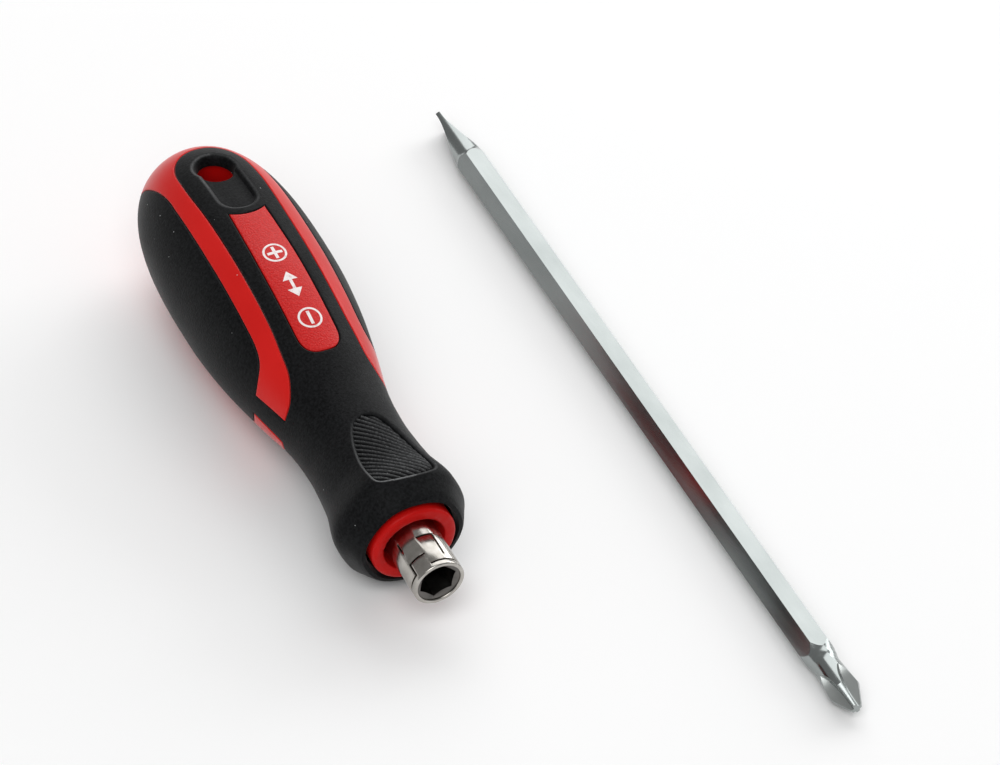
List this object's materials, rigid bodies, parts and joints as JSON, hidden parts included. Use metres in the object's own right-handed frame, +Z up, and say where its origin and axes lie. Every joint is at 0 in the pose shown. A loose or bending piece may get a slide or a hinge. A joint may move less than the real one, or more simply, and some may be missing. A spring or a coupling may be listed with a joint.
{
  "type": "double-ended screwdriver",
  "caption": "Screwdriver with a two-colour overmoulded handle, a slit hex socket and a loose hex blade, slotted at one end and with a cross point at the other, lying beside it.",
  "frame": {"origin": "on the bench that the tool lies on, under the middle of the box round the handle and the blade", "axes": "+Z up from the bench, +Y from the socket towards the handle's butt, +X from the handle towards the loose blade"},
  "size_m": [0.0834, 0.18, 0.0326],
  "materials": {
    "core_plastic": "satin moulded polypropylene, fine grain on the label pads",
    "grip_rubber": "matt thermoplastic rubber, ribbed on the thumb pads",
    "sleeve_sheet": "bright plated sheet steel",
    "bush_steel": "drawn steel, oiled",
    "blade_steel": "satin plated hex bar, ground tips"
  },
  "bodies": {
    "handle": {"handle_core": "core_plastic", "grip_overmould": "grip_rubber", "socket_sleeve": "sleeve_sheet", "hex_bush": "bush_steel"},
    "blade": {"blade": "blade_steel"}
  },
  "joints": [
    {"name": "blade_turn", "type": "hinge", "parent": "handle", "child": "blade", "pos_m": [0.00473, -0.06668, 0.003], "axis": [0, 0, 1], "range_deg": [-178.7, 0]}
  ]
}
